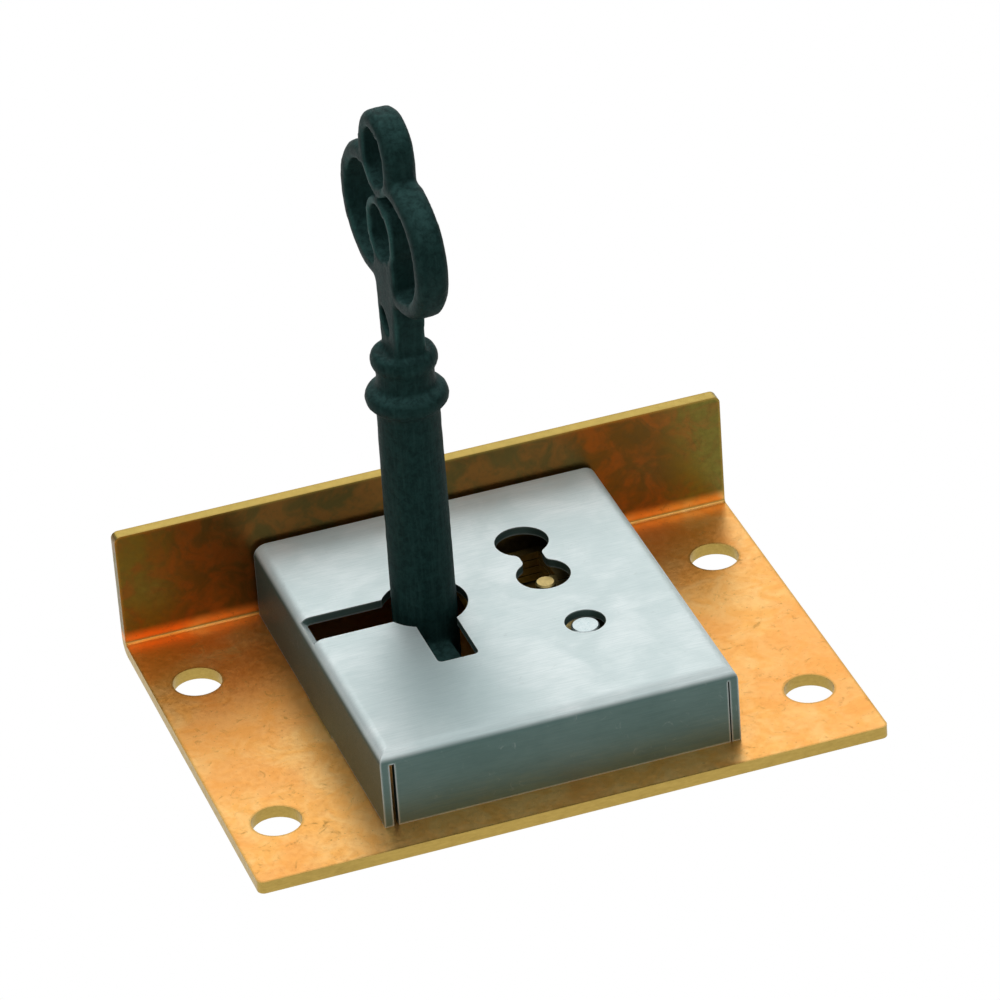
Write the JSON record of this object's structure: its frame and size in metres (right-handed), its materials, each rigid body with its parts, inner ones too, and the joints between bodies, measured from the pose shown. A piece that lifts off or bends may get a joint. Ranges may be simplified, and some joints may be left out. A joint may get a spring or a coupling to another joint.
{
  "type": "drawer till lock",
  "caption": "Brass-plated till lock with an upright selvedge, a pressed steel case over levers and bolt, and an iron key with a trefoil bow standing in its keyhole.",
  "frame": {"origin": "middle of the plate's underside, the face seen from inside the drawer", "axes": "+Z from the plate towards the case and the key's bow, +Y towards the selvedge, where the bolt comes out, +X to the right as seen from the case side with the selvedge behind"},
  "size_m": [0.0636, 0.0458, 0.064],
  "materials": {
    "plate_brass": "worn, mottled",
    "case_steel": "finely brushed",
    "key_iron": "matte, as cast",
    "works_brass": "cast and filed",
    "pin_steel": "turned",
    "spring_steel": "blued"
  },
  "bodies": {
    "lock_body": {"back_plate": "plate_brass", "lock_case": "case_steel", "pivot_post": "pin_steel", "drill_pin": "pin_steel"},
    "key": {"key": "key_iron"},
    "bolt": {"bolt": "works_brass", "bolt_stump": "works_brass"},
    "lever_1": {"lever_1": "works_brass", "lever_spring_1": "spring_steel"},
    "lever_2": {"lever_2": "works_brass", "lever_spring_2": "spring_steel"},
    "lever_3": {"lever_3": "works_brass", "lever_spring_3": "spring_steel"},
    "lever_4": {"lever_4": "works_brass", "lever_spring_4": "spring_steel"}
  },
  "joints": [
    {"name": "key_turn", "type": "hinge", "parent": "lock_body", "child": "key", "pos_m": [-0.0057, 0.00424, 0], "axis": [0, 0, 1], "range_deg": [0, 112]},
    {"name": "bolt_throw", "type": "slide", "parent": "lock_body", "child": "bolt", "axis": [0, 1, 0], "range_m": [0, 0.0065]},
    {"name": "lever_1_lift", "type": "hinge", "parent": "lock_body", "child": "lever_1", "pos_m": [0.0075, -0.00536, 0], "axis": [0, 0, -1], "range_deg": [0, 4]},
    {"name": "lever_2_lift", "type": "hinge", "parent": "lock_body", "child": "lever_2", "pos_m": [0.0075, -0.00536, 0], "axis": [0, 0, -1], "range_deg": [0, 3.6]},
    {"name": "lever_3_lift", "type": "hinge", "parent": "lock_body", "child": "lever_3", "pos_m": [0.0075, -0.00536, 0], "axis": [0, 0, -1], "range_deg": [0, 3.8]},
    {"name": "lever_4_lift", "type": "hinge", "parent": "lock_body", "child": "lever_4", "pos_m": [0.0075, -0.00536, 0], "axis": [0, 0, -1], "range_deg": [0, 3.4]}
  ],
  "couplings": [
    {"joint": "bolt_throw", "follows": "key_turn", "m_per_rad": 0.0033252},
    {"joint": "lever_1_lift", "follows": "key_turn", "ratio": 0.035714},
    {"joint": "lever_2_lift", "follows": "key_turn", "ratio": 0.032142},
    {"joint": "lever_3_lift", "follows": "key_turn", "ratio": 0.033928},
    {"joint": "lever_4_lift", "follows": "key_turn", "ratio": 0.030357}
  ]
}
